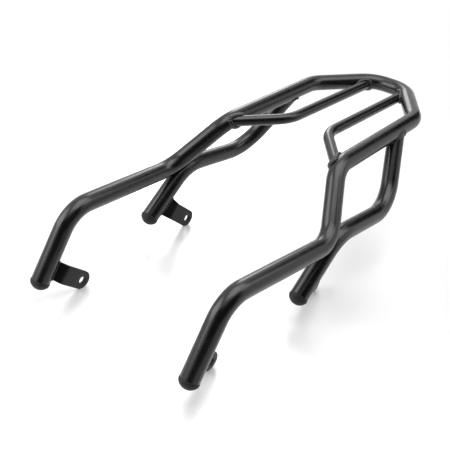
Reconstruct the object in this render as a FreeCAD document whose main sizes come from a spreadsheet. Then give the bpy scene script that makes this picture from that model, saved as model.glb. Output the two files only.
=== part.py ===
"""Motorcycle rear carrier: a bare luggage platform of bent and welded steel tube.

Frame: +X points forward along the motorcycle, +Y to its left and +Z up. The origin is on the
ground plane below the middle of the carrier. Lengths are millimetres, angles are degrees.
"""

import FreeCAD, Part
import os
import Sketcher
from collections import namedtuple
from math import atan2, cos, degrees, radians, sin, tan
from FreeCAD import Placement, Rotation, Vector

# Driving dimensions: name, value, what it is. Heights are measured from the ground, and
# half spans from the middle plane. Tube positions are those of the centreline's corners.
SIZES = [
    ("tube_diameter", 22.0, "outside diameter of the main tube and the stays"),
    ("tube_wall", 2.0, "wall of the main tube and the stays"),
    ("tube_bend_radius", 42.0, "centreline radius of every bend of the main tube"),
    ("stay_bend_radius", 60.0, "centreline radius of the bends of a stay"),
    ("rail_diameter", 14.0, "outside diameter of the inner rails"),
    ("rail_wall", 1.5, "wall of the inner rails"),
    ("rail_bend_radius", 50.0, "centreline radius of the bend of an inner rail"),
    ("front_foot_x", 283.0, "steel end of the main tube at a front foot"),
    ("front_foot_height", 28.0, "the same, above the ground"),
    ("front_half_span", 112.0, "main tube at the front feet and knees"),
    ("front_knee_x", 235.0, "bend over a front foot"),
    ("front_knee_height", 102.5, "the same, above the ground"),
    ("crossing_x", 60.5, "main tube's bend where the stay touches it"),
    ("crossing_half_span", 121.5, "the same, from the middle plane"),
    ("crossing_height", 87.5, "the same, above the ground"),
    ("platform_front_x", -1.5, "bend at the front of the platform"),
    ("platform_rear_x", -199.5, "bend at the rear of the platform"),
    ("platform_half_span", 82.5, "side tubes of the platform"),
    ("platform_height", 148.0, "side tubes and crossbar of the platform"),
    ("crossbar_x", -283.4, "crossbar at the rear end"),
    ("crossbar_half_span", 26.5, "bends at the ends of the crossbar"),
    ("rear_foot_x", 101.0, "steel end of a stay at a rear foot"),
    ("rear_foot_height", 32.0, "the same, above the ground"),
    ("stay_half_span", 117.0, "stays, from foot to upper bend"),
    ("stay_knee_x", 35.0, "stay's bend where it touches the main tube"),
    ("stay_upper_bend_x", -91.5, "stay's bend below the platform"),
    ("stay_upper_bend_height", 67.5, "the same, above the ground"),
    ("stay_top_x", -150.0, "stay's axis where it meets the side tube's axis"),
    ("rail_front_x", -1.0, "inner rail's axis where it meets the side tube"),
    ("rail_front_rise", -0.5, "the same, above the platform's centreline"),
    ("rail_bend_x", -64.0, "bend of an inner rail"),
    ("rail_bend_rise", 3.0, "the same, above the platform's centreline"),
    ("rail_half_span", 28.5, "long run of an inner rail"),
    ("rail_rear_rise", -2.5, "rail's end, above the crossbar's centreline"),
    ("bracket_width", 23.0, "width of a mounting bracket's tab"),
    ("bracket_thickness", 4.0, "thickness of a mounting bracket"),
    ("bracket_fold_reach", 7.0, "from a leg's side to the fold of its bracket"),
    ("bracket_fold_radius", 3.0, "inside radius of a bracket's fold"),
    ("bolt_hole_diameter", 9.0, "clearance hole for an M8 bolt"),
    ("front_bolt_setback", 47.6, "from a front leg's steel end back to its bolt hole"),
    ("front_bracket_inset", 15.6, "its tab's inboard face, inboard of the leg's axis"),
    ("front_bracket_angle", 39.5, "slope of its tab below level"),
    ("front_fold_angle", 42.0, "fold between its root and its tab"),
    ("front_root_width", 22.0, "width of a front bracket at its weld"),
    ("rear_bolt_setback", 56.4, "from a rear leg's steel end back to its bolt hole"),
    ("rear_bracket_inset", 15.4, "its tab's inboard face, inboard of the leg's axis"),
    ("rear_bracket_angle", 40.0, "slope of its tab below level"),
    ("rear_fold_angle", 37.0, "fold between its root and its tab"),
    ("rear_root_width", 32.0, "width of a rear bracket at its weld"),
    ("cap_lip", 0.4, "how far an end cap stands out past its tube"),
    ("cap_collar", 3.0, "straight part of an end cap's head"),
    ("cap_dome", 7.5, "height of an end cap's dome above its collar"),
    ("cap_plug_length", 16.0, "part of an end cap inside its tube"),
    ("cap_plug_wall", 2.0, "wall of that part"),
    ("cap_fit", 0.1, "gap between the plug and the tube's bore"),
    ("weld_leg", 2.4, "how far a weld bead reaches along each piece"),
    ("rail_weld_leg", 3.5, "the same, at the ends of an inner rail"),
    ("crossing_weld_reach", 17.0, "half length of the weld at the crossing"),
    ("weld_root_gap", 0.3, "gap between main tube and stay, filled by the weld"),
]

# Times that a stay's knee is raised by the gap left between stay and main tube
KNEE_STEPS = 12

doc = FreeCAD.newDocument("RearCarrier")
sheet = doc.addObject("Spreadsheet::Sheet", "Sizes")
for row, (alias, value, meaning) in enumerate(SIZES, start=1):
    sheet.set(f"A{row}", alias)
    sheet.set(f"B{row}", str(value))
    sheet.setAlias(f"B{row}", alias)
    sheet.set(f"C{row}", meaning)
doc.recompute()


def size(alias):
    """A driving dimension, read from the sheet."""
    return float(sheet.get(alias))


def mirrored(point):
    """The same point on the other side of the middle plane."""
    return Vector(point.x, -point.y, point.z)


# Centrelines

Run = namedtuple("Run", "start end")
Bend = namedtuple("Bend", "centre outward forward turn radius")


def bent_route(corners, radius):
    """Straight runs through the corners, joined by tangent bends of one radius."""
    route = []
    start = corners[0]
    for before, corner, after in zip(corners, corners[1:], corners[2:]):
        forward = (corner - before).normalize()
        away = (after - corner).normalize()
        turn = forward.getAngle(away)
        setback = radius * tan(turn / 2)
        inward = (away - forward * forward.dot(away)).normalize()
        bend_start = corner - forward * setback
        route.append(Run(start, bend_start))
        route.append(Bend(bend_start + inward * radius, -inward, forward, turn, radius))
        start = corner + away * setback
    route.append(Run(start, corners[-1]))
    return route


def point_on_bend(bend, angle):
    """The centreline's point at an angle from the start of a bend."""
    return bend.centre + (bend.outward * cos(angle) + bend.forward * sin(angle)) * bend.radius


def centreline(route):
    """A route as one wire, for measuring distances."""
    edges = []
    for part in route:
        if isinstance(part, Run):
            edges.append(Part.makeLine(part.start, part.end))
        else:
            places = [point_on_bend(part, part.turn * share) for share in (0, 0.5, 1)]
            edges.append(Part.Arc(*places).toShape())
    return Part.Wire(edges)


def main_tube_corners():
    """Corners of the main tube, from the left front foot round to the right one."""
    platform = size("platform_height")
    left = [
        Vector(size("front_foot_x"), size("front_half_span"), size("front_foot_height")),
        Vector(size("front_knee_x"), size("front_half_span"), size("front_knee_height")),
        Vector(size("crossing_x"), size("crossing_half_span"), size("crossing_height")),
        Vector(size("platform_front_x"), size("platform_half_span"), platform),
        Vector(size("platform_rear_x"), size("platform_half_span"), platform),
        Vector(size("crossbar_x"), size("crossbar_half_span"), platform),
    ]
    return left + [mirrored(corner) for corner in reversed(left)]


def touching_stay_corners(main_route):
    """Corners of the left stay, its knee raised until it just touches the main tube."""
    span = size("stay_half_span")
    spacing = size("tube_diameter") + size("weld_root_gap")
    corners = [
        Vector(size("rear_foot_x"), span, size("rear_foot_height")),
        Vector(size("stay_knee_x"), span, size("crossing_height") - spacing),
        Vector(size("stay_upper_bend_x"), span, size("stay_upper_bend_height")),
        Vector(size("stay_top_x"), size("platform_half_span"), size("platform_height")),
    ]
    main_line = centreline(main_route)
    for _ in range(KNEE_STEPS):
        lower_line = centreline(bent_route(corners[:3], size("stay_bend_radius")))
        corners[1].z += main_line.distToShape(lower_line)[0] - spacing
    return corners


def rail_corners():
    """Corners of the left inner rail, from the side tube back to the crossbar."""
    platform = size("platform_height")
    span = size("rail_half_span")
    return [
        Vector(size("rail_front_x"), size("platform_half_span"),
               platform + size("rail_front_rise")),
        Vector(size("rail_bend_x"), span, platform + size("rail_bend_rise")),
        Vector(size("crossbar_x") + size("rail_diameter") / 2, span,
               platform + size("rail_rear_rise")),
    ]


# Solids along a centreline

def round_bar(name, route, radius_expression, bend_radius_expression):
    """A solid round bar: a cylinder for each run and part of a torus for each bend."""
    parts = []
    for number, part in enumerate(route, start=1):
        if isinstance(part, Run):
            axis = part.end - part.start
            solid = doc.addObject("Part::Cylinder", f"{name}_run_{number}")
            solid.setExpression("Radius", radius_expression)
            solid.Height = axis.Length
            solid.Placement = Placement(part.start, Rotation(Vector(0, 0, 1), axis))
        else:
            normal = part.outward.cross(part.forward)
            turned = Rotation(part.outward, part.forward, normal, "XYZ")
            solid = doc.addObject("Part::Torus", f"{name}_bend_{number}")
            solid.setExpression("Radius1", bend_radius_expression)
            solid.setExpression("Radius2", radius_expression)
            solid.Angle3 = degrees(part.turn)
            solid.Placement = Placement(part.centre, turned)
        parts.append(solid)
    bar = doc.addObject("Part::MultiFuse", name)
    bar.Shapes = parts
    return bar


def cut(name, base, tool):
    """One object less another."""
    result = doc.addObject("Part::Cut", name)
    result.Base = base
    result.Tool = tool
    return result


def mirror(name, source):
    """The right-hand twin of a left-hand piece."""
    twin = doc.addObject("Part::Mirroring", name)
    twin.Source = source
    twin.Base = Vector(0, 0, 0)
    twin.Normal = Vector(0, 1, 0)
    return twin


# The frame: main tube, stays and inner rails

PIECES = []


def piece(obj, label):
    """Name an object as a finished piece of the carrier."""
    obj.Label = label
    PIECES.append(obj)
    return obj


def left_and_right(obj, stem):
    """A finished left-hand piece and its right-hand twin."""
    piece(obj, stem + "_left")
    piece(mirror("mirror_of_" + stem, obj), stem + "_right")


TUBE_OUTSIDE = "Sizes.tube_diameter / 2"
TUBE_BORE = "Sizes.tube_diameter / 2 - Sizes.tube_wall"
TUBE_HALO = "Sizes.tube_diameter / 2 + Sizes.weld_leg"
RAIL_OUTSIDE = "Sizes.rail_diameter / 2"
RAIL_BORE = "Sizes.rail_diameter / 2 - Sizes.rail_wall"
RAIL_HALO = "Sizes.rail_diameter / 2 + Sizes.rail_weld_leg"
WIDE_HALO = "Sizes.tube_diameter / 2 + Sizes.rail_weld_leg"
MAIN_BEND = "Sizes.tube_bend_radius"
STAY_BEND = "Sizes.stay_bend_radius"
RAIL_BEND = "Sizes.rail_bend_radius"

main_corners = main_tube_corners()
main_route = bent_route(main_corners, size("tube_bend_radius"))
stay_corners = touching_stay_corners(main_route)
stay_route = bent_route(stay_corners, size("stay_bend_radius"))
rail_route = bent_route(rail_corners(), size("rail_bend_radius"))

main_outside = round_bar("main_outside", main_route, TUBE_OUTSIDE, MAIN_BEND)
main_bore = round_bar("main_bore", main_route, TUBE_BORE, MAIN_BEND)
piece(cut("main_hollow", main_outside, main_bore), "main_tube")

stay_outside = round_bar("stay_outside", stay_route, TUBE_OUTSIDE, STAY_BEND)
stay_bore = round_bar("stay_bore", stay_route, TUBE_BORE, STAY_BEND)
stay_hollow = cut("stay_hollow", stay_outside, stay_bore)
left_and_right(cut("stay_coped", stay_hollow, main_outside), "stay")

rail_outside = round_bar("rail_outside", rail_route, RAIL_OUTSIDE, RAIL_BEND)
rail_bore = round_bar("rail_bore", rail_route, RAIL_BORE, RAIL_BEND)
rail_hollow = cut("rail_hollow", rail_outside, rail_bore)
left_and_right(cut("rail_coped", rail_hollow, main_outside), "inner_rail")


# Mounting brackets: a joggled tab with a round end and one bolt hole

def origin_plane(body, role):
    """One of a body's own origin planes."""
    return next(p for p in body.Origin.OriginFeatures if p.Role == role)


def new_sketch(body, name, role):
    """A sketch on one of the body's origin planes."""
    sketch = body.newObject("Sketcher::SketchObject", name)
    sketch.AttachmentSupport = [(origin_plane(body, role), "")]
    sketch.MapMode = "FlatFace"
    return sketch


def evaluate(sketch, expression):
    """The present value of an expression over the sheet."""
    value = sketch.evalExpression(expression)
    return float(getattr(value, "Value", value))


def fix_point(sketch, edge, end, x_expression, y_expression):
    """Hold one end of an edge at a place given by two expressions."""
    for kind, expression in (("DistanceX", x_expression), ("DistanceY", y_expression)):
        value = evaluate(sketch, expression)
        index = sketch.addConstraint(Sketcher.Constraint(kind, -1, 1, edge, end, value))
        sketch.setExpression(f"Constraints[{index}]", expression)


def add_corners(sketch, corners, closed=True):
    """Straight edges through corners, each held by a pair of expressions."""
    points = [Vector(evaluate(sketch, x), evaluate(sketch, y), 0) for x, y in corners]
    ends = points[1:] + points[:1] if closed else points[1:]
    first = sketch.GeometryCount
    for begin, end in zip(points, ends):
        sketch.addGeometry(Part.LineSegment(begin, end))
    last = sketch.GeometryCount - 1
    for edge in range(first, last):
        sketch.addConstraint(Sketcher.Constraint("Coincident", edge, 2, edge + 1, 1))
    if closed:
        sketch.addConstraint(Sketcher.Constraint("Coincident", last, 2, first, 1))
    for edge, (x, y) in enumerate(corners[:last - first + 1], start=first):
        fix_point(sketch, edge, 1, x, y)
    if not closed:
        fix_point(sketch, last, 2, *corners[-1])
    return first, last


def tab_outline(sketch, fold, root, half_width, root_half_width):
    """The tab seen flat: a round end about the bolt hole, widening towards the root."""
    edge_corners = [
        ("0", half_width), (fold, half_width), (root, root_half_width),
        (root, f"-({root_half_width})"), (fold, f"-({half_width})"), ("0", f"-({half_width})"),
    ]
    first, last = add_corners(sketch, edge_corners, closed=False)
    radius = evaluate(sketch, half_width)
    circle = Part.Circle(Vector(0, 0, 0), Vector(0, 0, 1), radius)
    end_arc = sketch.addGeometry(Part.ArcOfCircle(circle, radians(90), radians(270)))
    sketch.addConstraint(Sketcher.Constraint("PointOnObject", end_arc, 3, -2))
    sketch.addConstraint(Sketcher.Constraint("Coincident", end_arc, 1, first, 1))
    sketch.addConstraint(Sketcher.Constraint("Coincident", end_arc, 2, last, 2))


def edge_near(shape, point):
    """The name of the edge whose middle is nearest to a point."""
    distances = [(edge.CenterOfMass - point).Length for edge in shape.Edges]
    return f"Edge{distances.index(min(distances)) + 1}"


def bracket_blank(name, reach, angle, root_width, thickness, tab_width):
    """A joggled tab before it is fitted to its leg.

    The bolt hole's axis is the body's Z axis, and +X runs along the tab to the leg, whose
    axis is met at x = reach. The angle is that of the fold. All are expressions.
    """
    body = doc.addObject("PartDesign::Body", name)
    fold = f"({reach} - Sizes.tube_diameter / 2 - Sizes.bracket_fold_reach)"
    root = f"({reach} - Sizes.tube_diameter / 4)"
    half = f"({thickness}) / 2"
    mitre = f"{half} * tan({angle} / 2)"
    drop = f"({root} - {fold}) * tan({angle})"
    profile = new_sketch(body, name + "_side", "XZ_Plane")
    add_corners(profile, [
        (f"-({tab_width}) / 2", f"-{half}"),
        (f"{fold} - {mitre}", f"-{half}"),
        (root, f"-{drop} - {half} / cos({angle})"),
        (root, f"-{drop} + {half} / cos({angle})"),
        (f"{fold} + {mitre}", half),
        (f"-({tab_width}) / 2", half),
    ])
    strip = body.newObject("PartDesign::Pad", name + "_strip")
    strip.Profile = profile
    strip.setExpression("Length", f"2 * ({root_width})")
    strip.Midplane = True
    doc.recompute()

    at_fold = evaluate(profile, fold)
    shift = evaluate(profile, mitre)
    half_thickness = evaluate(profile, half)
    folded = strip
    for face, side, radius in (("inner", -1, "Sizes.bracket_fold_radius"),
                               ("outer", 1, f"Sizes.bracket_fold_radius + {thickness}")):
        corner = Vector(at_fold + side * shift, 0, side * half_thickness)
        rounding = body.newObject("PartDesign::Fillet", f"{name}_fold_{face}")
        rounding.Base = (folded, [edge_near(folded.Shape, corner)])
        rounding.setExpression("Radius", radius)
        doc.recompute()
        folded = rounding

    outline = new_sketch(body, name + "_outline", "XY_Plane")
    frame = f"(2 * {root_width} + {reach})"
    add_corners(outline, [(f"-{frame}", f"-{frame}"), (frame, f"-{frame}"),
                          (frame, frame), (f"-{frame}", frame)])
    tab_outline(outline, fold, root, f"({tab_width}) / 2", f"({root_width}) / 2")
    trim = body.newObject("PartDesign::Pocket", name + "_trim")
    trim.Profile = outline
    trim.Type = "ThroughAll"
    trim.Midplane = True
    doc.recompute()
    return body


def add_bolt_hole(body, name):
    """The bolt hole, on the body's Z axis."""
    circle_sketch = new_sketch(body, name + "_bolt_circle", "XY_Plane")
    radius = size("bolt_hole_diameter") / 2
    circle_sketch.addGeometry(Part.Circle(Vector(0, 0, 0), Vector(0, 0, 1), radius))
    circle_sketch.addConstraint(Sketcher.Constraint("Coincident", 0, 3, -1, 1))
    index = circle_sketch.addConstraint(Sketcher.Constraint("Radius", 0, radius))
    circle_sketch.setExpression(f"Constraints[{index}]", "Sizes.bolt_hole_diameter / 2")
    hole = body.newObject("PartDesign::Pocket", name + "_bolt_hole")
    hole.Profile = circle_sketch
    hole.Type = "ThroughAll"
    hole.Midplane = True


def reach_to_leg(bolt, slope, foot, knee):
    """Distance from a bolt hole up the tab's slope to the leg's axis, in side view."""
    leg = Vector(knee.x - foot.x, 0, knee.z - foot.z)
    gap = Vector(foot.x - bolt.x, 0, foot.z - bolt.z)
    return (gap.x * leg.z - gap.z * leg.x) / (slope.x * leg.z - slope.z * leg.x)


def add_bracket(end, foot, knee, tube_solid, halo_solid):
    """A left-hand bracket, fitted to its leg, and the weld that holds it."""
    middle = foot.y - size(end + "_bracket_inset") + size("bracket_thickness") / 2
    bolt_x = foot.x - size(end + "_bolt_setback")
    bolt = Vector(bolt_x, middle, size("bracket_width") / 2)
    angle = radians(size(end + "_bracket_angle"))
    slope = Vector(cos(angle), 0, sin(angle))
    reach = f"{reach_to_leg(bolt, slope, foot, knee):.6f}"
    fold_angle = f"Sizes.{end}_fold_angle"
    width = f"Sizes.{end}_root_width"
    stem = "bracket_" + end
    across = Vector(sin(angle), 0, -cos(angle))
    place = Placement(bolt, Rotation(slope, across, Vector(0, -1, 0), "XZY"))

    blank = bracket_blank(stem + "_blank", reach, fold_angle, width,
                          "Sizes.bracket_thickness", "Sizes.bracket_width")
    add_bolt_hole(blank, stem)
    blank.Placement = place
    fitted = cut(stem + "_fitted", blank, tube_solid)
    left_and_right(fitted, stem)

    halo = bracket_blank(stem + "_halo", reach, fold_angle, width + " + 2 * Sizes.weld_leg",
                         "Sizes.bracket_thickness + 2 * Sizes.weld_leg",
                         "Sizes.bracket_width + 2 * Sizes.weld_leg")
    halo.Placement = place
    add_weld("bracket_weld_" + end, [halo_solid, halo], [tube_solid, blank])


# Welds

WELDS = []


def add_weld(stem, halos, solids):
    """A bead where the halos of two joined pieces meet, clear of the pieces themselves."""
    meeting = doc.addObject("Part::MultiCommon", stem + "_meeting")
    meeting.Shapes = halos
    bead = meeting
    for number, solid in enumerate(solids, start=1):
        bead = cut(f"{stem}_clear_{number}", bead, solid)
    WELDS.append(bead)


def weld_zone(name, centre, radius):
    """A ball that keeps a weld to its own joint."""
    zone = doc.addObject("Part::Sphere", name)
    zone.Radius = radius
    zone.Placement = Placement(centre, Rotation())
    return zone


main_halo = round_bar("main_halo", main_route, TUBE_HALO, MAIN_BEND)
stay_halo = round_bar("stay_halo", stay_route, TUBE_HALO, STAY_BEND)
rail_halo = round_bar("rail_halo", rail_route, RAIL_HALO, RAIL_BEND)
wide_halo = round_bar("wide_halo", main_route, WIDE_HALO, MAIN_BEND)

joint_reach = 3 * size("tube_diameter")
lower_stay = bent_route(stay_corners[:3], size("stay_bend_radius"))
touch = centreline(main_route).distToShape(centreline(lower_stay))[1][0][0]
crossing_zone = weld_zone("crossing_zone", touch, size("crossing_weld_reach"))
stay_top_zone = weld_zone("stay_top_zone", stay_corners[-1], joint_reach)
rail_front_zone = weld_zone("rail_front_zone", rail_corners()[0], joint_reach)
rail_rear_zone = weld_zone("rail_rear_zone", rail_corners()[-1], joint_reach)

add_weld("crossing_weld", [main_halo, stay_halo, crossing_zone], [main_outside, stay_outside])
add_weld("stay_weld", [main_halo, stay_halo, stay_top_zone], [main_outside, stay_outside])
add_weld("rail_weld_front", [wide_halo, rail_halo, rail_front_zone], [main_outside, rail_outside])
add_weld("rail_weld_rear", [wide_halo, rail_halo, rail_rear_zone], [main_outside, rail_outside])

add_bracket("front", main_corners[0], main_corners[1], main_outside, main_halo)
add_bracket("rear", stay_corners[0], stay_corners[1], stay_outside, stay_halo)

weld_set = doc.addObject("Part::Compound", "weld_set")
weld_set.Links = WELDS
left_and_right(weld_set, "weld_beads")


# End caps: a domed head with a hollow plug that is pushed into the tube

def cap_body(name):
    """An end cap on the body's Z axis, its head above z = 0 and its plug below."""
    body = doc.addObject("PartDesign::Body", name)
    sketch = new_sketch(body, name + "_half_section", "XZ_Plane")
    rim = "(Sizes.tube_diameter / 2 + Sizes.cap_lip)"
    plug = "(Sizes.tube_diameter / 2 - Sizes.tube_wall - Sizes.cap_fit)"
    hollow = f"({plug} - Sizes.cap_plug_wall)"
    top = "Sizes.cap_collar + Sizes.cap_dome"
    first, last = add_corners(sketch, [
        ("0", "0"), (hollow, "0"), (hollow, "-Sizes.cap_plug_length"),
        (plug, "-Sizes.cap_plug_length"), (plug, "0"), (rim, "0"), (rim, "Sizes.cap_collar"),
    ], closed=False)

    height = size("cap_dome")
    radius = evaluate(sketch, rim)
    ball = (radius ** 2 + height ** 2) / (2 * height)
    centre = Vector(0, size("cap_collar") + height - ball, 0)
    rim_angle = atan2(size("cap_collar") - centre.y, radius)
    circle = Part.Circle(centre, Vector(0, 0, 1), ball)
    dome = sketch.addGeometry(Part.ArcOfCircle(circle, rim_angle, radians(90)))
    sketch.addConstraint(Sketcher.Constraint("Coincident", dome, 1, last, 2))
    sketch.addConstraint(Sketcher.Constraint("PointOnObject", dome, 3, -2))
    fix_point(sketch, dome, 2, "0", top)
    axis = sketch.addGeometry(Part.LineSegment(Vector(0, centre.y + ball, 0), Vector(0, 0, 0)))
    sketch.addConstraint(Sketcher.Constraint("Coincident", axis, 1, dome, 2))
    sketch.addConstraint(Sketcher.Constraint("Coincident", axis, 2, first, 1))

    turned = body.newObject("PartDesign::Revolution", name + "_turned")
    turned.Profile = sketch
    turned.ReferenceAxis = (sketch, ["V_Axis"])
    turned.Angle = 360
    return body


def add_cap(end, foot, knee):
    """A left-hand end cap in the end of its leg, and its right-hand twin."""
    body = cap_body("cap_" + end + "_body")
    outward = (foot - knee).normalize()
    body.Placement = Placement(foot, Rotation(Vector(0, 0, 1), outward))
    left_and_right(body, "cap_" + end)


add_cap("front", main_corners[0], main_corners[1])
add_cap("rear", stay_corners[0], stay_corners[1])


# Check every object, then write one file for each piece

doc.recompute()
for obj in doc.Objects:
    if "Invalid" in obj.State or "Error" in obj.State:
        raise RuntimeError(f"{obj.Name} failed: {obj.State}")
for obj in PIECES:
    if obj.Shape.isNull() or not obj.Shape.isValid() or not obj.Shape.Solids:
        raise RuntimeError(f"{obj.Label} has no valid solid")

os.makedirs("parts", exist_ok=True)
for obj in PIECES:
    obj.Shape.exportStep(f"parts/{obj.Label}.step")
    box = obj.Shape.BoundBox
    print(f"{obj.Label}: {len(obj.Shape.Solids)} solid, {obj.Shape.Volume / 1000:.2f} cm3, "
          f"x {box.XMin:.1f} to {box.XMax:.1f}, y {box.YMin:.1f} to {box.YMax:.1f}, "
          f"z {box.ZMin:.1f} to {box.ZMax:.1f}")
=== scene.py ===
"""Looks of the motorcycle rear carrier: bent tubes, joggled brackets, end caps, weld beads
and the studio. Lengths are metres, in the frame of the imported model: +X forward, +Y to the
motorcycle's left, +Z up, with the ground at z = 0.
"""

from math import acos, atan2, ceil, cos, pi, radians, sin, tan

import bmesh
import bpy
from bpy.props import FloatProperty, FloatVectorProperty, IntProperty, PointerProperty
from mathutils import Matrix, Vector, noise
from mathutils.bvhtree import BVHTree


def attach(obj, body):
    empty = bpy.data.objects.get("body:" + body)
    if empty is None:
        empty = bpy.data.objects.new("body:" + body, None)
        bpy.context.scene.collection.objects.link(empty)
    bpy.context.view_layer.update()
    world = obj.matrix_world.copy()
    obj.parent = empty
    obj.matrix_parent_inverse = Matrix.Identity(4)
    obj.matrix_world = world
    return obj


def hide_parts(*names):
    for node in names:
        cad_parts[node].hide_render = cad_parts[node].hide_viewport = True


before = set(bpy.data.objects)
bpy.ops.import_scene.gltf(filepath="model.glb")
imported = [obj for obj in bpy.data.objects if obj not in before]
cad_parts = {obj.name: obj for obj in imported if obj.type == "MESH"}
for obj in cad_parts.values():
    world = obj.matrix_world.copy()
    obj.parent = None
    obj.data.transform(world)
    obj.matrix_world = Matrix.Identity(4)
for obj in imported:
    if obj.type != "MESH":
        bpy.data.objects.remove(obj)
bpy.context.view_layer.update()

bl_info = {
    "name": "Motorcycle rear carrier",
    "version": (1, 0, 0),
    "blender": (4, 5, 0),
    "location": "3D View > Sidebar > Carrier",
    "description": "Builds the tubes, brackets, caps and welds of a rear carrier, and its studio",
    "category": "Object",
}

SIDES = (("left", 1), ("right", -1))

# Corners of the tubes' centrelines, left half, from the feet to the rear
MAIN_CORNERS = (
    (0.2830, 0.1120, 0.0280), (0.2350, 0.1120, 0.1025), (0.0605, 0.1215, 0.0875),
    (-0.0015, 0.0825, 0.1480), (-0.1995, 0.0825, 0.1480), (-0.2834, 0.0265, 0.1480),
)
STAY_CORNERS = (
    (0.1010, 0.1170, 0.0320), (0.0350, 0.1170, 0.08447),
    (-0.0915, 0.1170, 0.0675), (-0.1500, 0.0825, 0.1480),
)
RAIL_CORNERS = (
    (-0.0010, 0.0825, 0.1475), (-0.0640, 0.0285, 0.1510), (-0.2764, 0.0285, 0.1455),
)
CROSSING = (0.0507, 0.1170, 0.0846)
CROSSING_RUN = (-0.8700, -0.1430, 0.4550)


class CarrierSizes(bpy.types.PropertyGroup):
    tube_diameter: FloatProperty(
        name="Tube diameter", description="Outside diameter of the main tube and the stays",
        default=0.022, unit="LENGTH")
    tube_wall: FloatProperty(
        name="Tube wall", description="Wall of the main tube and the stays",
        default=0.002, unit="LENGTH")
    rail_diameter: FloatProperty(
        name="Rail diameter", description="Outside diameter of the inner rails",
        default=0.014, unit="LENGTH")
    main_bend: FloatProperty(
        name="Main bend", description="Centreline radius of the main tube's bends",
        default=0.042, unit="LENGTH")
    stay_bend: FloatProperty(
        name="Stay bend", description="Centreline radius of the stays' bends",
        default=0.060, unit="LENGTH")
    rail_bend: FloatProperty(
        name="Rail bend", description="Centreline radius of the rails' bends",
        default=0.050, unit="LENGTH")
    plate_thickness: FloatProperty(
        name="Bracket thickness", description="Thickness of a bracket's plate",
        default=0.004, unit="LENGTH")
    plate_width: FloatProperty(
        name="Bracket width", description="Width of a bracket's tab",
        default=0.023, unit="LENGTH")
    plate_edge: FloatProperty(
        name="Edge rounding", description="Rounding of a bracket's edges under the paint",
        default=0.0006, unit="LENGTH")
    hole_diameter: FloatProperty(
        name="Bolt hole", description="Diameter of the bolt holes",
        default=0.009, unit="LENGTH")
    fold_radius: FloatProperty(
        name="Fold radius", description="Middle radius of a bracket's fold",
        default=0.005, unit="LENGTH")
    fold_reach: FloatProperty(
        name="Fold reach", description="From a leg's axis to the fold of its bracket",
        default=0.018, unit="LENGTH")
    cap_lip: FloatProperty(
        name="Cap lip", description="How far an end cap stands out past its tube",
        default=0.0004, unit="LENGTH")
    cap_collar: FloatProperty(
        name="Cap collar", description="Straight part of an end cap's head",
        default=0.003, unit="LENGTH")
    cap_dome: FloatProperty(
        name="Cap dome", description="Height of an end cap's dome above its collar",
        default=0.0075, unit="LENGTH")
    bead_radius: FloatProperty(
        name="Bead radius", description="Radius of a weld bead",
        default=0.0021, unit="LENGTH")
    rail_bead_radius: FloatProperty(
        name="Rail bead radius", description="The same, at the ends of the rails",
        default=0.0033, unit="LENGTH")
    bracket_bead_radius: FloatProperty(
        name="Bracket bead radius", description="The same, round the brackets",
        default=0.0014, unit="LENGTH")
    bead_seat: FloatProperty(
        name="Bead seat", default=0.05, min=0, max=1,
        description="From the middle of a bead to the metal, as a share of its radius")
    ripple_pitch: FloatProperty(
        name="Ripple pitch", default=0.8, min=0.2,
        description="Spacing of the ripples along a bead, as a share of its radius")
    round_segments: IntProperty(
        name="Segments", description="Segments round a tube", default=64, min=16)


class CarrierFinish(bpy.types.PropertyGroup):
    tube_colour: FloatVectorProperty(
        name="Tube paint", description="Satin black powder coat on the tubes",
        subtype="COLOR", size=3, min=0, max=1, default=(0.0048, 0.0048, 0.0047))
    bracket_colour: FloatVectorProperty(
        name="Bracket paint", description="Powder coat on the brackets",
        subtype="COLOR", size=3, min=0, max=1, default=(0.0035, 0.0035, 0.0038))
    cap_colour: FloatVectorProperty(
        name="Cap plastic", description="Moulded plastic of the end caps",
        subtype="COLOR", size=3, min=0, max=1, default=(0.0056, 0.0056, 0.0054))
    floor_colour: FloatVectorProperty(
        name="Floor", description="Paper sweep under the carrier",
        subtype="COLOR", size=3, min=0, max=1, default=(0.60, 0.60, 0.60))


# Centrelines

def bent_route(corners, radius):
    """Straight runs and tangent bends of one radius through the corners."""
    points = [Vector(corner) for corner in corners]
    route = []
    start = points[0]
    for before, corner, after in zip(points, points[1:], points[2:]):
        ahead = (corner - before).normalized()
        away = (after - corner).normalized()
        turn = ahead.angle(away)
        setback = ahead * (radius * tan(turn / 2))
        inward = (away - ahead * ahead.dot(away)).normalized()
        route.append(("run", corner - setback - start))
        centre = corner - setback + inward * radius
        route.append(("bend", centre, ahead.cross(away).normalized(), turn))
        start = corner + away * setback.length
    route.append(("run", points[-1] - start))
    return route


def on_side(corners, side):
    """The left-hand corners, or their mirror image."""
    return [(x, side * y, z) for x, y, z in corners]


# Mesh steps shared by the pieces

def turned_to(direction, place):
    """A matrix that points the Z axis along a direction, at a place."""
    turn = Vector(direction).to_track_quat("Z", "Y").to_matrix().to_4x4()
    return Matrix.Translation(Vector(place)) @ turn


def ring(bm, centre, direction, radius, segments):
    """The edges of a circle about a tube's axis."""
    made = bmesh.ops.create_circle(bm, segments=segments, radius=radius,
                                   matrix=turned_to(direction, centre))
    return list({edge for vert in made["verts"] for edge in vert.link_edges})


def corners_of(edges):
    """The vertices that a loop of edges joins."""
    return list({vert for edge in edges for vert in edge.verts})


def extruded(bm, edges):
    """A loop drawn out of another one, ready to be moved."""
    made = bmesh.ops.extrude_edge_only(bm, edges=edges)["geom"]
    verts = {item for item in made if isinstance(item, bmesh.types.BMVert)}
    return [item for item in made if isinstance(item, bmesh.types.BMEdge)
            and item.verts[0] in verts and item.verts[1] in verts]


def push(bm, edges, move):
    """A loop drawn out and moved."""
    moved = extruded(bm, edges)
    bmesh.ops.translate(bm, verts=corners_of(moved), vec=move)
    return moved


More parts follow.
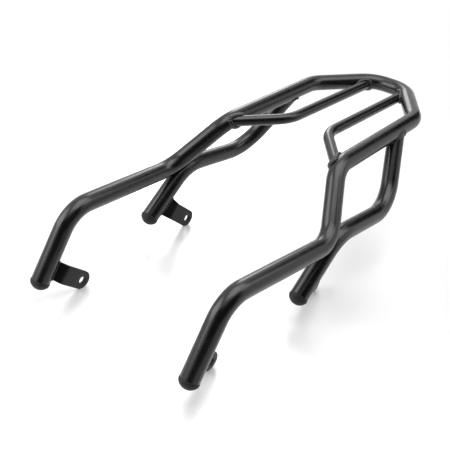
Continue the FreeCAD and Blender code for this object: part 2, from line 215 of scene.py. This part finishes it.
def shrink(bm, edges, centre, share):
    """A loop drawn out and scaled about a centre."""
    moved = extruded(bm, edges)
    bmesh.ops.scale(bm, verts=corners_of(moved), vec=(share, share, share),
                    space=Matrix.Translation(-Vector(centre)))
    return moved


def turn_round(bm, edges, centre, axis, angle, step):
    """A loop swept round a bend."""
    made = bmesh.ops.spin(bm, geom=corners_of(edges) + edges, cent=centre, axis=axis,
                          angle=angle, steps=max(3, ceil(angle / step)), dvec=(0, 0, 0))
    return [item for item in made["geom_last"] if isinstance(item, bmesh.types.BMEdge)]


def finished(bm, name, material, node, sharp=radians(32)):
    """Turn a bmesh into a smooth-shaded piece that stands for its CAD node."""
    bmesh.ops.remove_doubles(bm, verts=bm.verts, dist=1e-6)
    bmesh.ops.recalc_face_normals(bm, faces=bm.faces)
    mesh = bpy.data.meshes.new(name)
    bm.to_mesh(mesh)
    bm.free()
    mesh.shade_smooth()
    mesh.set_sharp_from_angle(angle=sharp)
    mesh.materials.append(material)
    piece = bpy.data.objects.new(name, mesh)
    bpy.context.scene.collection.objects.link(piece)
    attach(piece, "root")
    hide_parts(node)
    return piece


def surface_of(name):
    """A finished piece's surface, for seating a weld on it."""
    return BVHTree.FromObject(bpy.data.objects[name],
                              bpy.context.evaluated_depsgraph_get())


# Materials

def shader(name, colour, roughness):
    """A new material, its Principled shader, and its Object coordinates."""
    material = bpy.data.materials.new(name)
    material.use_nodes = True
    bsdf = material.node_tree.nodes["Principled BSDF"]
    bsdf.inputs["Base Color"].default_value = (*colour, 1)
    bsdf.inputs["Roughness"].default_value = roughness
    bsdf.inputs["IOR"].default_value = 1.5
    place = material.node_tree.nodes.new("ShaderNodeTexCoord").outputs["Object"]
    return material, bsdf, place


def noise_field(tree, place, scale, detail):
    """A noise pattern in the piece's own space, from 0 to 1."""
    node = tree.nodes.new("ShaderNodeTexNoise")
    node.inputs["Scale"].default_value = scale
    node.inputs["Detail"].default_value = detail
    tree.links.new(place, node.inputs["Vector"])
    return node.outputs["Fac"]


def ranged(tree, value, low, high, from_low=0.3, from_high=0.7):
    """A value spread between two numbers."""
    node = tree.nodes.new("ShaderNodeMapRange")
    node.inputs["From Min"].default_value = from_low
    node.inputs["From Max"].default_value = from_high
    node.inputs["To Min"].default_value = low
    node.inputs["To Max"].default_value = high
    tree.links.new(value, node.inputs["Value"])
    return node.outputs["Result"]


def tinted(tree, factor, first, second):
    """A colour between two, by a factor."""
    node = tree.nodes.new("ShaderNodeMix")
    node.data_type = "RGBA"
    tree.links.new(factor, node.inputs["Factor"])
    node.inputs["A"].default_value = (*first, 1)
    node.inputs["B"].default_value = (*second, 1)
    return node.outputs["Result"]


def bumped(tree, height, distance, strength, below=None):
    """A bump from a height field, over another bump if one is given."""
    node = tree.nodes.new("ShaderNodeBump")
    node.inputs["Distance"].default_value = distance
    node.inputs["Strength"].default_value = strength
    tree.links.new(height, node.inputs["Height"])
    if below is not None:
        tree.links.new(below, node.inputs["Normal"])
    return node.outputs["Normal"]


def powder_coat(name, colour, roughness, peel, gloss=1.5):
    """Satin powder coat: fine orange peel, cloudy sheen and a few dull specks of dust."""
    material, bsdf, place = shader(name, colour, roughness)
    bsdf.inputs["IOR"].default_value = gloss
    tree = material.node_tree
    cloud = noise_field(tree, place, 28, 3)
    specks = noise_field(tree, place, 1600, 1)
    lighter = [1.5 * channel for channel in colour]
    dusty = [4 * channel for channel in colour]
    base = tinted(tree, ranged(tree, cloud, 0, 1), colour, lighter)
    dust = tree.nodes.new("ShaderNodeMix")
    dust.data_type = "RGBA"
    dust.inputs["B"].default_value = (*dusty, 1)
    tree.links.new(ranged(tree, specks, 0, 0.6, 0.66, 0.74), dust.inputs["Factor"])
    tree.links.new(base, dust.inputs["A"])
    tree.links.new(dust.outputs["Result"], bsdf.inputs["Base Color"])
    satin = noise_field(tree, place, 90, 4)
    tree.links.new(ranged(tree, satin, roughness - 0.03, roughness + 0.05),
                   bsdf.inputs["Roughness"])
    waves = bumped(tree, noise_field(tree, place, 240, 1), 0.00012, peel)
    fine = bumped(tree, noise_field(tree, place, 900, 2), 0.00003, peel, waves)
    tree.links.new(fine, bsdf.inputs["Normal"])
    return material


def moulded_plastic(name, colour):
    """Matt moulded plastic with a coarse spark-eroded grain."""
    material, bsdf, place = shader(name, colour, 0.62)
    tree = material.node_tree
    bsdf.inputs["IOR"].default_value = 1.38
    grain = noise_field(tree, place, 700, 2)
    lighter = [5 * channel for channel in colour]
    tree.links.new(tinted(tree, ranged(tree, grain, 0, 1, 0.45, 0.72), colour, lighter),
                   bsdf.inputs["Base Color"])
    tree.links.new(ranged(tree, grain, 0.52, 0.72), bsdf.inputs["Roughness"])
    coarse = bumped(tree, noise_field(tree, place, 420, 2), 0.0006, 0.7)
    tree.links.new(bumped(tree, grain, 0.0003, 0.7, coarse), bsdf.inputs["Normal"])
    return material


def shared(name, maker, *arguments):
    """A material made once and used by every piece of its finish."""
    return bpy.data.materials.get(name) or maker(name, *arguments)


def tube_paint():
    finish = bpy.context.scene.carrier_finish
    return shared("tube_powder_coat", powder_coat, finish.tube_colour[:], 0.24, 0.12)


def bracket_paint():
    finish = bpy.context.scene.carrier_finish
    return shared("bracket_powder_coat", powder_coat, finish.bracket_colour[:], 0.34, 0.5,
                  1.3)


def weld_paint():
    finish = bpy.context.scene.carrier_finish
    return shared("weld_powder_coat", powder_coat, finish.tube_colour[:], 0.22, 0.5)


def cap_plastic():
    return shared("cap_moulded_plastic", moulded_plastic,
                  bpy.context.scene.carrier_finish.cap_colour[:])


# Tubes

def open_mouth(bm, edges, centre, outward, sizes):
    """The cut end of a tube: its wall, and a little of its bore."""
    outside = sizes.tube_diameter / 2
    inner = shrink(bm, edges, centre, (outside - sizes.tube_wall) / outside)
    deep = push(bm, inner, Vector(outward).normalized() * -0.02)
    bmesh.ops.holes_fill(bm, edges=deep, sides=0)


def tube_mesh(corners, radius, bend_radius, segments):
    """A bent tube and the loops of edges at its two ends."""
    bm = bmesh.new()
    first = ring(bm, corners[0], Vector(corners[1]) - Vector(corners[0]), radius, segments)
    loop = first
    for part in bent_route(corners, bend_radius):
        if part[0] == "run":
            loop = push(bm, loop, part[1])
        else:
            loop = turn_round(bm, loop, part[1], part[2], part[3], radians(4))
    return bm, first, loop


class CARRIER_OT_main_tube(bpy.types.Operator):
    """Bends the main tube from one front foot round the platform to the other"""
    bl_idname = "carrier.main_tube"
    bl_label = "Main tube"

    def execute(self, context):
        sizes = context.scene.carrier_sizes
        corners = list(MAIN_CORNERS) + on_side(reversed(MAIN_CORNERS), -1)
        bm, first, last = tube_mesh(corners, sizes.tube_diameter / 2, sizes.main_bend,
                                    sizes.round_segments)
        for edges, foot, knee in ((first, corners[0], corners[1]),
                                  (last, corners[-1], corners[-2])):
            open_mouth(bm, edges, foot, Vector(foot) - Vector(knee), sizes)
        finished(bm, "bent_main_tube", tube_paint(), "main_tube")
        return {"FINISHED"}


class CARRIER_OT_stays(bpy.types.Operator):
    """Bends the two stays that brace the platform and end in the rear feet"""
    bl_idname = "carrier.stays"
    bl_label = "Stays"

    def execute(self, context):
        sizes = context.scene.carrier_sizes
        for hand, side in SIDES:
            corners = on_side(STAY_CORNERS, side)
            bm, first, last = tube_mesh(corners, sizes.tube_diameter / 2, sizes.stay_bend,
                                        sizes.round_segments)
            open_mouth(bm, first, corners[0], Vector(corners[0]) - Vector(corners[1]), sizes)
            bmesh.ops.holes_fill(bm, edges=last, sides=0)
            finished(bm, "bent_stay_" + hand, tube_paint(), "stay_" + hand)
        return {"FINISHED"}


class CARRIER_OT_rails(bpy.types.Operator):
    """Bends the two thin rails inside the platform"""
    bl_idname = "carrier.rails"
    bl_label = "Inner rails"

    def execute(self, context):
        sizes = context.scene.carrier_sizes
        for hand, side in SIDES:
            bm, first, last = tube_mesh(on_side(RAIL_CORNERS, side), sizes.rail_diameter / 2,
                                        sizes.rail_bend, sizes.round_segments)
            bmesh.ops.holes_fill(bm, edges=first + last, sides=0)
            finished(bm, "bent_rail_" + hand, tube_paint(),
                     "inner_rail_" + hand)
        return {"FINISHED"}


# Brackets

BRACKETS = {
    "front": {"bolt": (0.2354, 0.0984, 0.0115), "slope": radians(39.5), "fold": radians(42),
              "root": 0.022, "foot": MAIN_CORNERS[0], "knee": MAIN_CORNERS[1],
              "leg": "bent_main_tube"},
    "rear": {"bolt": (0.0446, 0.1036, 0.0115), "slope": radians(40), "fold": radians(37),
             "root": 0.032, "foot": STAY_CORNERS[0], "knee": STAY_CORNERS[1],
             "leg": "bent_stay_{hand}"},
}


def bracket_place(kind, side):
    """From the bracket's own axes to its place: X up the tab, Z outboard, hole at 0."""
    x, y, z = kind["bolt"]
    along = Vector((cos(kind["slope"]), 0, sin(kind["slope"])))
    outboard = Vector((0, side, 0))
    across = outboard.cross(along)
    turn = Matrix((along, across, outboard)).transposed().to_4x4()
    return Matrix.Translation((x, side * y, z)) @ turn


def reach_to_leg(kind):
    """Distance from the bolt hole up the tab to the leg's axis, in side view."""
    foot, knee, bolt = Vector(kind["foot"]), Vector(kind["knee"]), Vector(kind["bolt"])
    leg, gap = knee - foot, foot - bolt
    rise, ahead = sin(kind["slope"]), cos(kind["slope"])
    return (gap.x * leg.z - gap.z * leg.x) / (ahead * leg.z - rise * leg.x)


def folded(point, start, fold, radius):
    """A point of the flat strip after the strip is bent outboard past its fold."""
    x, y, z = point
    past = x - start
    if past <= 0:
        return Vector((x, y, z))
    angle = min(past / radius, fold)
    straight = past - radius * angle
    lift = radius * (1 - cos(angle)) + straight * sin(angle)
    ahead = radius * sin(angle) + straight * cos(angle)
    return Vector((start + ahead - z * sin(angle), y, lift + z * cos(angle)))


def square_loop(angle, half):
    """Where the flat tab's outline meets a ray from the bolt hole."""
    if cos(angle) < 1e-6:
        return Vector((half * cos(angle), half * sin(angle), 0))
    reach = min(half / cos(angle), half / abs(sin(angle)) if sin(angle) else 1)
    return Vector((reach * cos(angle), reach * sin(angle), 0))


def bracket_mesh(kind, sizes):
    """A bracket in its own axes: a ring round the hole, drawn out to the folded root."""
    bm = bmesh.new()
    half = sizes.plate_width / 2
    reach = reach_to_leg(kind)
    start = reach - sizes.fold_reach - sizes.fold_radius * tan(kind["fold"] / 2)
    end = start + sizes.fold_radius * kind["fold"]
    hole = ring(bm, (0, 0, 0), (0, 0, 1), sizes.hole_diameter / 2, 64)
    outline = extruded(bm, hole)
    for vert in corners_of(outline):
        vert.co = square_loop(atan2(vert.co.y, vert.co.x), half)
    edges = [edge for edge in outline
             if all(abs(vert.co.x - half) < 1e-7 for vert in edge.verts)]
    steps = [start + (end - start) * share / 6 for share in range(7)]
    root = reach - 0.006
    for place in steps + [end + 0.0005, root + 0.004]:
        share = max(0, (place - start) / (root - start))
        wide = (half + (kind["root"] / 2 - half) * min(1, share)) / half
        grown = corners_of(edges)[0].co.x
        edges = push(bm, edges, (place - grown, 0, 0))
        for vert in corners_of(edges):
            vert.co.y = max(-half, min(half, vert.co.y * half / max(
                abs(item.co.y) for item in corners_of(edges)))) * wide
    bmesh.ops.recalc_face_normals(bm, faces=bm.faces)
    skin = bmesh.ops.extrude_face_region(bm, geom=bm.faces[:])["geom"]
    lifted = [item for item in skin if isinstance(item, bmesh.types.BMVert)]
    bmesh.ops.translate(bm, verts=lifted, vec=(0, 0, sizes.plate_thickness))
    bmesh.ops.translate(bm, verts=bm.verts, vec=(0, 0, -sizes.plate_thickness / 2))
    bmesh.ops.recalc_face_normals(bm, faces=bm.faces)
    rims = [edge for edge in bm.edges
            if len(edge.link_faces) == 2 and edge.calc_face_angle() > radians(60)]
    bmesh.ops.bevel(bm, geom=rims, offset=sizes.plate_edge, offset_type="OFFSET",
                    affect="EDGES", segments=3, profile=0.5, material=-1)
    for vert in bm.verts:
        vert.co = folded(vert.co, start, kind["fold"], sizes.fold_radius)
    return bm


class CARRIER_OT_brackets(bpy.types.Operator):
    """Folds the four mounting brackets and sets them on their legs"""
    bl_idname = "carrier.brackets"
    bl_label = "Mounting brackets"

    def execute(self, context):
        sizes = context.scene.carrier_sizes
        for end, kind in BRACKETS.items():
            for hand, side in SIDES:
                bm = bracket_mesh(kind, sizes)
                bmesh.ops.transform(bm, verts=bm.verts, matrix=bracket_place(kind, side))
                finished(bm, f"folded_bracket_{end}_{hand}", bracket_paint(),
                         f"bracket_{end}_{hand}")
        return {"FINISHED"}


# End caps

class CARRIER_OT_end_caps(bpy.types.Operator):
    """Moulds the four domed end caps that plug the feet"""
    bl_idname = "carrier.end_caps"
    bl_label = "End caps"

    def half_section(self, bm, sizes):
        """The cap's half section: plug, lip, collar with a rounded seam, and dome."""
        tube = sizes.tube_diameter / 2
        rim = tube + sizes.cap_lip
        plug = tube - sizes.tube_wall - 0.0001
        top = sizes.cap_collar + sizes.cap_dome
        ball = (rim ** 2 + sizes.cap_dome ** 2) / (2 * sizes.cap_dome)
        half_angle = acos((ball - sizes.cap_dome) / ball)
        points = [(0, -0.012), (plug - 0.0006, -0.012), (plug, -0.0112), (plug, 0),
                  (rim - 0.0005, 0), (rim - 0.00015, 0.00015), (rim, 0.0005),
                  (rim, sizes.cap_collar - 0.0012), (rim - 0.00012, sizes.cap_collar - 0.0003)]
        for step in range(1, 13):
            angle = half_angle * (1 - step / 12) * 0.97
            points.append((ball * sin(angle), top - ball * (1 - cos(angle))))
        verts = [bm.verts.new((x, 0, z)) for x, z in points]
        return [bm.edges.new(pair) for pair in zip(verts, verts[1:])]

    def execute(self, context):
        sizes = context.scene.carrier_sizes
        feet = {"front": MAIN_CORNERS, "rear": STAY_CORNERS}
        for end, corners in feet.items():
            for hand, side in SIDES:
                foot, knee = (Vector(corner) for corner in on_side(corners[:2], side))
                bm = bmesh.new()
                profile = self.half_section(bm, sizes)
                bmesh.ops.spin(bm, geom=corners_of(profile) + profile, cent=(0, 0, 0),
                               axis=(0, 0, 1), angle=2 * pi, steps=sizes.round_segments,
                               use_merge=True)
                bmesh.ops.transform(bm, verts=bm.verts, matrix=turned_to(foot - knee, foot))
                finished(bm, f"domed_cap_{end}_{hand}", cap_plastic(),
                         f"cap_{end}_{hand}", sharp=radians(50))
        return {"FINISHED"}


# Weld beads

def settled(point, surfaces, seat):
    """Move a point until it is the seat's distance from each of two surfaces."""
    point = Vector(point)
    for _ in range(30):
        move = Vector()
        for surface in surfaces:
            near = surface.find_nearest(point)
            away = point - near[0]
            if away.dot(near[1]) < 0:
                away = -away
                move += near[1] * (seat + away.length)
            else:
                move += (away.normalized() if away.length > 1e-9 else near[1]) * (
                    seat - away.length)
        point += move * 0.6
    return point


def even_path(points, spacing, closed):
    """The same path with its points evenly spaced."""
    points = points + [points[0]] if closed else points
    lengths = [(b - a).length for a, b in zip(points, points[1:])]
    total = sum(lengths)
    count = max(8, round(total / spacing))
    path = []
    index, passed = 0, 0.0
    for step in range(count if closed else count + 1):
        target = total * step / count
        while index < len(lengths) - 1 and passed + lengths[index] < target:
            passed += lengths[index]
            index += 1
        share = (target - passed) / lengths[index]
        path.append(points[index].lerp(points[index + 1], min(1, share)))
    return path


def bead_mesh(path, guide, closed, bead, pitch):
    """A rippled bead along a path: rings that swell and sag like cooled puddles."""
    bm = bmesh.new()
    count = len(path)
    per_ripple = 6
    loops = []
    for index, point in enumerate(path):
        ahead = path[(index + 1) % count] if closed or index + 1 < count else point
        behind = path[index - 1] if closed or index else point
        along = (ahead - behind).normalized()
        side = (guide - along * guide.dot(along)).normalized()
        turn = Matrix((side, along.cross(side), along)).transposed().to_4x4()
        phase = (index % per_ripple) / per_ripple
        lump = noise.noise(point * 170)
        radius = bead * (0.88 + 0.14 * sin(pi * phase) + 0.10 * lump)
        if not closed:
            left = min(index, count - 1 - index) / (2 * per_ripple)
            radius *= sin(pi / 2 * min(1, 0.12 + left))
        if loops:
            loop = extruded(bm, loops[-1])
            local = [(vert, loops_frame.inverted() @ vert.co) for vert in corners_of(loop)]
        else:
            loop = ring(bm, (0, 0, 0), (0, 0, 1), 1, 14)
            local = [(vert, vert.co.copy()) for vert in corners_of(loop)]
        place = Matrix.Translation(point) @ turn
        for vert, here in local:
            flat = Vector((here.x, here.y, 0)).normalized()
            crescent = 0.35 * pitch * (flat.x * 0.5 + 0.5 - 1)
            vert.co = place @ Vector((flat.x * radius, flat.y * radius, crescent))
        loops_frame = place
        loops.append(loop)
    if closed:
        bmesh.ops.bridge_loops(bm, edges=loops[-1] + loops[0])
    else:
        bmesh.ops.holes_fill(bm, edges=loops[0] + loops[-1], sides=0)
    return bm


def tube_seam(end, before, radius, target, seat):
    """Seats for a bead round a tube's end, found by looking along the tube."""
    end, before = Vector(end), Vector(before)
    back = (before - end).normalized()
    frame_axes = turned_to(back, end)
    surface = surface_of(target)
    seats = []
    for step in range(120):
        angle = 2 * pi * step / 120
        rim = frame_axes.to_3x3() @ Vector((cos(angle), sin(angle), 0))
        hit = surface.ray_cast(end + back * 0.03 + rim * (0.96 * radius), -back)[0]
        if hit is None:
            raise RuntimeError("a seam runs off " + target)
        seats.append(hit + back * seat + rim * (0.04 * radius + seat))
    return seats, back


class CARRIER_OT_weld_beads(bpy.types.Operator):
    """Lays the rippled weld beads on every joint of tubes and brackets"""
    bl_idname = "carrier.weld_beads"
    bl_label = "Weld beads"

    def lay(self, name, hand, seats, guide, surfaces, closed, bead, sizes):
        """Seat a bead between two surfaces and make it."""
        seated = [settled(seat, surfaces, bead * sizes.bead_seat) for seat in seats]
        pitch = bead * sizes.ripple_pitch
        step = pitch / 6
        path = even_path(seated, step, closed)
        path = path[:len(path) // 6 * 6] if not closed else even_path(
            seated, sum((b - a).length for a, b in zip(path, path[1:])) / (
                max(1, round(len(path) / 6)) * 6), True)
        bm = bead_mesh(path, guide, closed, bead, pitch)
        finished(bm, name, weld_paint(), "weld_beads_" + hand,
                 sharp=radians(180))

    def tube_joints(self, hand, side, sizes):
        """Beads round the ends of the stays and rails."""
        main = surface_of("bent_main_tube")
        stay, rail = on_side(STAY_CORNERS, side), on_side(RAIL_CORNERS, side)
        joints = (
            ("stay_bead", stay[-1], stay[-2], sizes.tube_diameter / 2, "bent_stay_",
             sizes.bead_radius),
            ("rail_front_bead", rail[0], rail[1], sizes.rail_diameter / 2, "bent_rail_",
             sizes.rail_bead_radius),
            ("rail_rear_bead", rail[-1], rail[-2], sizes.rail_diameter / 2, "bent_rail_",
             sizes.rail_bead_radius),
        )
        for stem, end, before, radius, branch, bead in joints:
            seats, back = tube_seam(end, before, radius, "bent_main_tube",
                                    bead * sizes.bead_seat)
            surfaces = (main, surface_of(branch + hand))
            self.lay(f"{stem}_{hand}", hand, seats, back, surfaces, True, bead, sizes)

    def crossing(self, hand, side, sizes):
        """Beads along both sides of the line where main tube and stay touch."""
        touch = Vector(on_side([CROSSING], side)[0])
        along = Vector(on_side([CROSSING_RUN], side)[0]).normalized()
        surfaces = (surface_of("bent_main_tube"), surface_of("bent_stay_" + hand))
        sideways = along.cross(Vector((0, 1, 0)).cross(along)).normalized()
        for edge, sign in (("outer", 1), ("inner", -1)):
            seats = [touch + along * 0.0006 * step + sideways * (sign * side * 0.006)
                     for step in range(-24, 25)]
            self.lay(f"crossing_bead_{edge}_{hand}", hand, seats,
                     along.cross(sideways), surfaces, False, sizes.bead_radius, sizes)

    def bracket_joints(self, end, kind, hand, side, sizes):
        """A bead round the root of a bracket."""
        leg = kind["leg"].format(hand=hand)
        place = bracket_place(kind, side)
        fold = reach_to_leg(kind) - sizes.fold_reach
        ahead = Vector((cos(kind["fold"]), 0, sin(kind["fold"])))
        lift = Vector((-sin(kind["fold"]), 0, cos(kind["fold"])))
        half_width = kind["root"] / 2 + 0.0002
        half_thick = sizes.plate_thickness / 2 + 0.0002
        turn = place.to_3x3()
        surface = surface_of(leg)
        seats = []
        for step in range(96):
            angle = 2 * pi * step / 96
            across, over = cos(angle), sin(angle)
            stretch = 1 / max(abs(across), abs(over))
            corner = (Vector((0, 1, 0)) * (across * stretch * half_width)
                      + lift * (over * stretch * half_thick))
            origin = place @ (Vector((fold, 0, 0)) + ahead * 0.002 + corner)
            hit = surface.ray_cast(origin, turn @ ahead)[0]
            if hit is None:
                raise RuntimeError("a bracket's seam runs off " + leg)
            seats.append(hit - (turn @ ahead) * (
                sizes.bracket_bead_radius * sizes.bead_seat))
        surfaces = (surface, surface_of(f"folded_bracket_{end}_{hand}"))
        self.lay(f"bracket_{end}_bead_{hand}", hand, seats, turn @ ahead, surfaces, True,
                 sizes.bracket_bead_radius, sizes)

    def execute(self, context):
        sizes = context.scene.carrier_sizes
        for hand, side in SIDES:
            self.tube_joints(hand, side, sizes)
            self.crossing(hand, side, sizes)
            for end, kind in BRACKETS.items():
                self.bracket_joints(end, kind, hand, side, sizes)
        return {"FINISHED"}


# Studio

CAMERA_AXES = (
    (-0.62768, -0.37632, 0.68147), (0.77421, -0.39313, 0.49601), (0.08125, 0.83894, 0.53812),
)
CAMERA_PLACE = (0.69690, 0.43748, 0.54597)
CAMERA_LENS = 59.18
MIDDLE = (0, 0, 0.09)

# Soft boxes: name, azimuth and height in degrees seen from the carrier, size, power
SOFT_BOXES = (
    ("top_box", 130, 84, 1.30, 1.30, 16.5),
    ("key_box", 319, 32, 1.35, 1.10, 17.0),
    ("rim_box", 221, 27, 0.45, 1.00, 5.5),
    ("rear_box", 130, 48, 0.70, 0.80, 4.0),
)
BOX_DISTANCE = 1.6

# Dark flags, in the same way, with their sizes
FLAGS = (
    ("flag_camera", 30, 22, 2.2, 2.4), ("flag_left", 78, 24, 2.3, 2.5),
    ("flag_rear", 170, 24, 1.1, 1.6),
)
FLAG_DISTANCE = 2.2


def seen_from_carrier(azimuth, height, distance):
    """A place by its direction and distance from the carrier's middle."""
    turn, lift = radians(azimuth), radians(height)
    direction = Vector((cos(lift) * cos(turn), cos(lift) * sin(turn), sin(lift)))
    return Vector(MIDDLE) + direction * distance


def panel(name, place, target, size_x, size_y, material):
    """A flat stage panel that faces a target."""
    bm = bmesh.new()
    bmesh.ops.create_grid(bm, x_segments=1, y_segments=1, size=0.5)
    bmesh.ops.scale(bm, verts=bm.verts, vec=(size_x, size_y, 1))
    mesh = bpy.data.meshes.new(name)
    facing = turned_to(Vector(target) - Vector(place), place)
    bmesh.ops.transform(bm, verts=bm.verts, matrix=facing)
    bm.to_mesh(mesh)
    bm.free()
    mesh.materials.append(material)
    obj = bpy.data.objects.new(name, mesh)
    bpy.context.scene.collection.objects.link(obj)
    return obj


def seen_or_mirrored(tree):
    """1 for rays from the camera, mirrors and glass, and 0 for the rest."""
    rays = tree.nodes.new("ShaderNodeLightPath")
    total = rays.outputs["Is Camera Ray"]
    for kind in ("Is Glossy Ray", "Is Transmission Ray"):
        larger = tree.nodes.new("ShaderNodeMath")
        larger.operation = "MAXIMUM"
        tree.links.new(total, larger.inputs[0])
        tree.links.new(rays.outputs[kind], larger.inputs[1])
        total = larger.outputs[0]
    return total


class CARRIER_OT_studio(bpy.types.Operator):
    """Sets the paper floor, the soft boxes, the dark flags and the camera"""
    bl_idname = "carrier.studio"
    bl_label = "Studio"

    def paper(self, colour):
        """A white satin sheet that keeps the carrier's shadow and a soft mirror image."""
        material = bpy.data.materials.new("white_sheet")
        material.use_nodes = True
        tree = material.node_tree
        tree.nodes.clear()
        paper = tree.nodes.new("ShaderNodeBsdfDiffuse")
        fibre = noise_field(tree, tree.nodes.new("ShaderNodeTexCoord").outputs["Object"],
                            220, 3)
        dim = [0.985 * channel for channel in colour]
        tree.links.new(tinted(tree, fibre, dim, colour), paper.inputs["Color"])
        lift = tree.nodes.new("ShaderNodeEmission")
        tree.links.new(ranged(tree, seen_or_mirrored(tree), 0, 0.15, 0, 1),
                       lift.inputs["Strength"])
        satin = tree.nodes.new("ShaderNodeBsdfGlossy")
        satin.inputs["Color"].default_value = (0.34, 0.34, 0.34, 1)
        satin.inputs["Roughness"].default_value = 0.35
        coated = tree.nodes.new("ShaderNodeAddShader")
        tree.links.new(paper.outputs[0], coated.inputs[0])
        tree.links.new(satin.outputs[0], coated.inputs[1])
        near = tree.nodes.new("ShaderNodeAddShader")
        tree.links.new(coated.outputs[0], near.inputs[0])
        tree.links.new(lift.outputs[0], near.inputs[1])
        far = tree.nodes.new("ShaderNodeEmission")
        tree.links.new(ranged(tree, seen_or_mirrored(tree), 0.4, 1, 0, 1),
                       far.inputs["Strength"])
        place = tree.nodes.new("ShaderNodeTexCoord").outputs["Object"]
        reach = tree.nodes.new("ShaderNodeVectorMath")
        reach.operation = "LENGTH"
        tree.links.new(place, reach.inputs[0])
        blend = tree.nodes.new("ShaderNodeMixShader")
        tree.links.new(ranged(tree, reach.outputs["Value"], 0, 1, 0.36, 0.66),
                       blend.inputs["Fac"])
        tree.links.new(near.outputs[0], blend.inputs[1])
        tree.links.new(far.outputs[0], blend.inputs[2])
        out = tree.nodes.new("ShaderNodeOutputMaterial")
        tree.links.new(blend.outputs[0], out.inputs["Surface"])
        return material

    def black_cloth(self):
        """Black cloth with a faint weave, for the flags."""
        material, bsdf, place = shader("black_cloth", (0.002, 0.002, 0.002), 1)
        tree = material.node_tree
        tree.links.new(tinted(tree, noise_field(tree, place, 90, 2), (0.001, 0.001, 0.001),
                              (0.003, 0.003, 0.003)), bsdf.inputs["Base Color"])
        bsdf.inputs["Specular IOR Level"].default_value = 0
        return material

    def soft_box(self, name, place, size_x, size_y, power):
        """A soft box that faces the carrier."""
        lamp = bpy.data.lights.new(name, "AREA")
        lamp.shape = "RECTANGLE"
        lamp.size = size_x
        lamp.size_y = size_y
        lamp.energy = power
        box = bpy.data.objects.new(name, lamp)
        box.matrix_world = turned_to(place - Vector(MIDDLE), place)
        bpy.context.scene.collection.objects.link(box)

    def room(self, scene):
        """A white room to the eye and in reflections, and a dim one as light."""
        world = bpy.data.worlds.new("white_room")
        world.use_nodes = True
        tree = world.node_tree
        background = tree.nodes["Background"]
        background.inputs["Color"].default_value = (1, 1, 1, 1)
        tree.links.new(ranged(tree, seen_or_mirrored(tree), 0.15, 1, 0, 1),
                       background.inputs["Strength"])
        scene.world = world

    def flags(self):
        """Dark flags that only reflections see."""
        cloth = self.black_cloth()
        for name, azimuth, height, size_x, size_y in FLAGS:
            place = seen_from_carrier(azimuth, height, FLAG_DISTANCE)
            flag = panel(name, place, MIDDLE, size_x, size_y, cloth)
            flag.visible_camera = False
            flag.visible_diffuse = False
            flag.visible_shadow = False
            flag.visible_transmission = False

    def execute(self, context):
        scene = context.scene
        paper = panel("paper_floor", (0, 0, 0), (0, 0, 1), 16, 16,
                      self.paper(scene.carrier_finish.floor_colour[:]))
        paper.data.name = "paper_floor"
        for name, azimuth, height, size_x, size_y, power in SOFT_BOXES:
            place = seen_from_carrier(azimuth, height, BOX_DISTANCE)
            self.soft_box(name, place, size_x, size_y, power)
        self.room(scene)
        self.flags()
        camera = bpy.data.cameras.new("view")
        camera.lens = CAMERA_LENS
        camera.sensor_width = 36
        camera.clip_start = 0.01
        viewer = bpy.data.objects.new("view", camera)
        viewer.matrix_world = Matrix.Translation(CAMERA_PLACE) @ Matrix(
            CAMERA_AXES).to_4x4()
        scene.collection.objects.link(viewer)
        scene.camera = viewer
        scene.view_settings.view_transform = "Standard"
        return {"FINISHED"}


class CARRIER_PT_sidebar(bpy.types.Panel):
    """Lists the carrier's pieces, sizes and finishes"""
    bl_idname = "CARRIER_PT_sidebar"
    bl_label = "Rear carrier"
    bl_space_type = "VIEW_3D"
    bl_region_type = "UI"
    bl_category = "Carrier"

    def draw(self, context):
        for operator in OPERATORS:
            self.layout.operator(operator.bl_idname)
        for group in (context.scene.carrier_sizes, context.scene.carrier_finish):
            box = self.layout.box()
            for name in group.__annotations__:
                box.prop(group, name)


OPERATORS = (
    CARRIER_OT_main_tube, CARRIER_OT_stays, CARRIER_OT_rails, CARRIER_OT_brackets,
    CARRIER_OT_end_caps, CARRIER_OT_weld_beads, CARRIER_OT_studio,
)
CLASSES = (CarrierSizes, CarrierFinish, *OPERATORS, CARRIER_PT_sidebar)


def register():
    for item in CLASSES:
        bpy.utils.register_class(item)
    bpy.types.Scene.carrier_sizes = PointerProperty(type=CarrierSizes)
    bpy.types.Scene.carrier_finish = PointerProperty(type=CarrierFinish)


def unregister():
    del bpy.types.Scene.carrier_finish
    del bpy.types.Scene.carrier_sizes
    for item in reversed(CLASSES):
        bpy.utils.unregister_class(item)


def main():
    register()
    for operator in OPERATORS:
        group, name = operator.bl_idname.split(".")
        getattr(getattr(bpy.ops, group), name)()
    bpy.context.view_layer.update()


if __name__ == "__main__":
    main()
